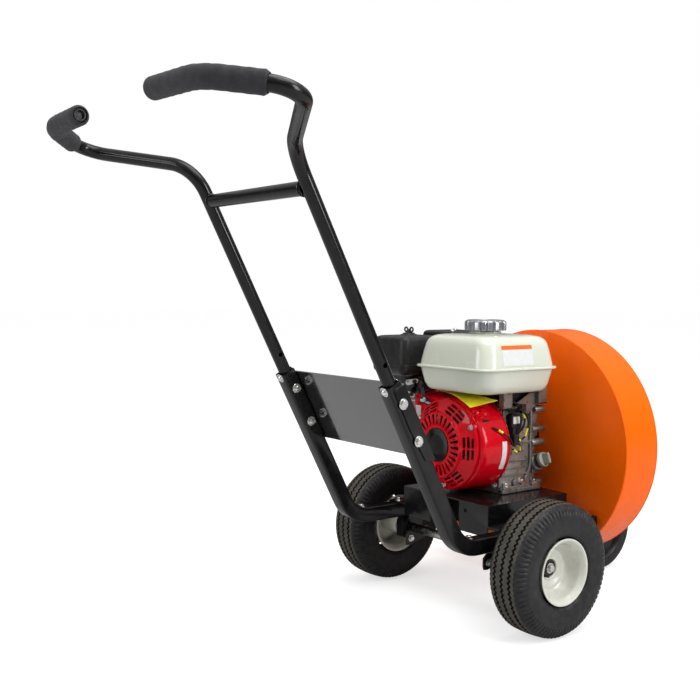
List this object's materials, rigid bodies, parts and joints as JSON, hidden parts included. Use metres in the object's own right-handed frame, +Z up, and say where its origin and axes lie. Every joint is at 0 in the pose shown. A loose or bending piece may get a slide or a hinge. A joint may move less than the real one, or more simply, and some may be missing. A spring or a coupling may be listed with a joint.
{
  "type": "walk-behind wheeled blower",
  "caption": "Engine-driven centrifugal blower on a wheeled tube frame with a bent push handle, low side outlet and a trailing front caster.",
  "frame": {"origin": "on the ground, under the middle of the machine's bounding box", "axes": "+Y forward, towards the fan housing and the caster; +X to the operator's right; +Z up"},
  "size_m": [0.758, 1.3515, 0.9796],
  "materials": {
    "black_frame": "gloss black powder coat",
    "zinc_fasteners": "zinc plated",
    "bare_steel": "bright steel",
    "dark_steel": "dark satin",
    "orange_paint": "gloss",
    "red_paint": "gloss",
    "cream_paint": "gloss",
    "caster_core": "moulded",
    "cast_aluminium": "as cast",
    "chrome_cap": "polished",
    "black_plastic": "moulded",
    "grey_plastic": "moulded",
    "filter_foam": "open foam",
    "grip_foam": "closed-cell foam",
    "tyre_rubber": "moulded rubber"
  },
  "bodies": {
    "chassis": {"left_lower_tube": "black_frame", "right_lower_tube": "black_frame", "handle_plate": "black_frame", "handle_bolt_left_upper": "zinc_fasteners", "handle_bolt_left_lower": "zinc_fasteners", "handle_bolt_right_upper": "zinc_fasteners", "handle_bolt_right_lower": "zinc_fasteners", "engine_deck": "black_frame", "axle": "bare_steel", "left_axle_hanger": "black_frame", "right_axle_hanger": "black_frame", "left_axle_nut": "zinc_fasteners", "right_axle_nut": "zinc_fasteners", "fan_housing": "orange_paint", "housing_cover": "orange_paint", "intake_guard": "black_frame", "caster_bracket": "black_frame", "crankcase": "cast_aluminium", "crankcase_cover": "cast_aluminium", "cylinder_head": "cast_aluminium", "rocker_cover": "dark_steel", "fan_cover": "red_paint", "recoil_cover": "red_paint", "fuel_tank": "cream_paint", "tank_bracket": "cast_aluminium", "air_cleaner_base": "black_plastic", "air_cleaner_cover": "black_plastic", "air_filter": "filter_foam", "carburettor": "cast_aluminium", "muffler": "dark_steel", "muffler_guard": "black_frame", "spark_plug_cap": "black_plastic"},
    "handle": {"left_handle_tube": "black_frame", "right_handle_tube": "black_frame", "handle_crossbar": "black_frame", "left_grip": "grip_foam", "right_grip": "grip_foam"},
    "left_wheel": {"left_tyre": "tyre_rubber", "left_rim": "cream_paint", "left_hub_bearing": "black_plastic"},
    "right_wheel": {"right_tyre": "tyre_rubber", "right_rim": "cream_paint", "right_hub_bearing": "black_plastic"},
    "caster_fork_body": {"caster_fork": "zinc_fasteners", "caster_axle_bolt": "zinc_fasteners"},
    "caster_wheel": {"caster_tyre": "tyre_rubber", "caster_rim": "caster_core"},
    "rotor": {"crankshaft": "bare_steel", "flywheel": "cast_aluminium", "starter_cup": "dark_steel", "impeller": "dark_steel"},
    "reel": {"recoil_reel": "black_plastic"},
    "starter": {"starter_grip": "black_plastic"},
    "tank_cap": {"fuel_cap": "chrome_cap"},
    "oil_cap": {"dipstick": "grey_plastic"},
    "wing_nut": {"air_cleaner_wing_nut": "black_plastic"},
    "choke": {"choke_lever": "zinc_fasteners"},
    "fuel_valve": {"fuel_valve_lever": "zinc_fasteners"},
    "throttle": {"throttle_lever": "zinc_fasteners"},
    "stop_switch": {"engine_switch": "black_plastic"}
  },
  "joints": [
    {"name": "handle_height", "type": "slide", "parent": "chassis", "child": "handle", "axis": [0, -0.4679, 0.8838], "range_m": [-0.079, 0]},
    {"name": "left_wheel_spin", "type": "hinge", "parent": "chassis", "child": "left_wheel", "pos_m": [-0.2465, 0.1246, 0.131], "axis": [1, 0, 0], "continuous": true},
    {"name": "right_wheel_spin", "type": "hinge", "parent": "chassis", "child": "right_wheel", "pos_m": [0.2465, 0.1246, 0.131], "axis": [1, 0, 0], "continuous": true},
    {"name": "caster_swivel", "type": "hinge", "parent": "chassis", "child": "caster_fork_body", "pos_m": [0, 0.6196, 0.1016], "axis": [0, 0, 1], "continuous": true},
    {"name": "caster_roll", "type": "hinge", "parent": "caster_fork_body", "child": "caster_wheel", "pos_m": [0, 0.5746, 0.1016], "axis": [1, 0, 0], "continuous": true},
    {"name": "rotor_spin", "type": "hinge", "parent": "chassis", "child": "rotor", "pos_m": [-0.022, 0.1246, 0.341], "axis": [0, 1, 0], "continuous": true},
    {"name": "starter_pull", "type": "slide", "parent": "chassis", "child": "starter", "axis": [-1, 0, 0], "range_m": [0, 0.6], "stiffness_N_per_m": 20},
    {"name": "reel_spin", "type": "hinge", "parent": "chassis", "child": "reel", "pos_m": [-0.022, 0.0806, 0.341], "axis": [0, 1, 0], "range_deg": [-820, 0]},
    {"name": "fuel_cap_turn", "type": "hinge", "parent": "chassis", "child": "tank_cap", "pos_m": [0.02, 0.1676, 0.5835], "axis": [0, 0, 1], "range_deg": [0, 90]},
    {"name": "dipstick_turn", "type": "hinge", "parent": "chassis", "child": "oil_cap", "pos_m": [0.0585, 0.2946, 0.296], "axis": [0.9404, 0, 0.3401], "range_deg": [0, 720]},
    {"name": "wing_nut_turn", "type": "hinge", "parent": "chassis", "child": "wing_nut", "pos_m": [-0.1675, 0.1146, 0.5696], "axis": [0, 0, 1], "range_deg": [0, 1080]},
    {"name": "choke_turn", "type": "hinge", "parent": "chassis", "child": "choke", "pos_m": [-0.15, 0.0986, 0.462], "axis": [0, 1, 0], "range_deg": [0, 20]},
    {"name": "fuel_valve_turn", "type": "hinge", "parent": "chassis", "child": "fuel_valve", "pos_m": [-0.15, 0.0926, 0.44], "axis": [0, 1, 0], "range_deg": [0, 20]},
    {"name": "throttle_turn", "type": "hinge", "parent": "chassis", "child": "throttle", "pos_m": [-0.085, 0.0916, 0.43], "axis": [0, 1, 0], "range_deg": [-30, 10]},
    {"name": "stop_switch_turn", "type": "hinge", "parent": "chassis", "child": "stop_switch", "pos_m": [0.0655, 0.1021, 0.4155], "axis": [0, 1, 0], "range_deg": [0, 45]}
  ],
  "couplings": [
    {"joint": "reel_spin", "follows": "starter_pull", "rad_per_m": -23.809}
  ]
}
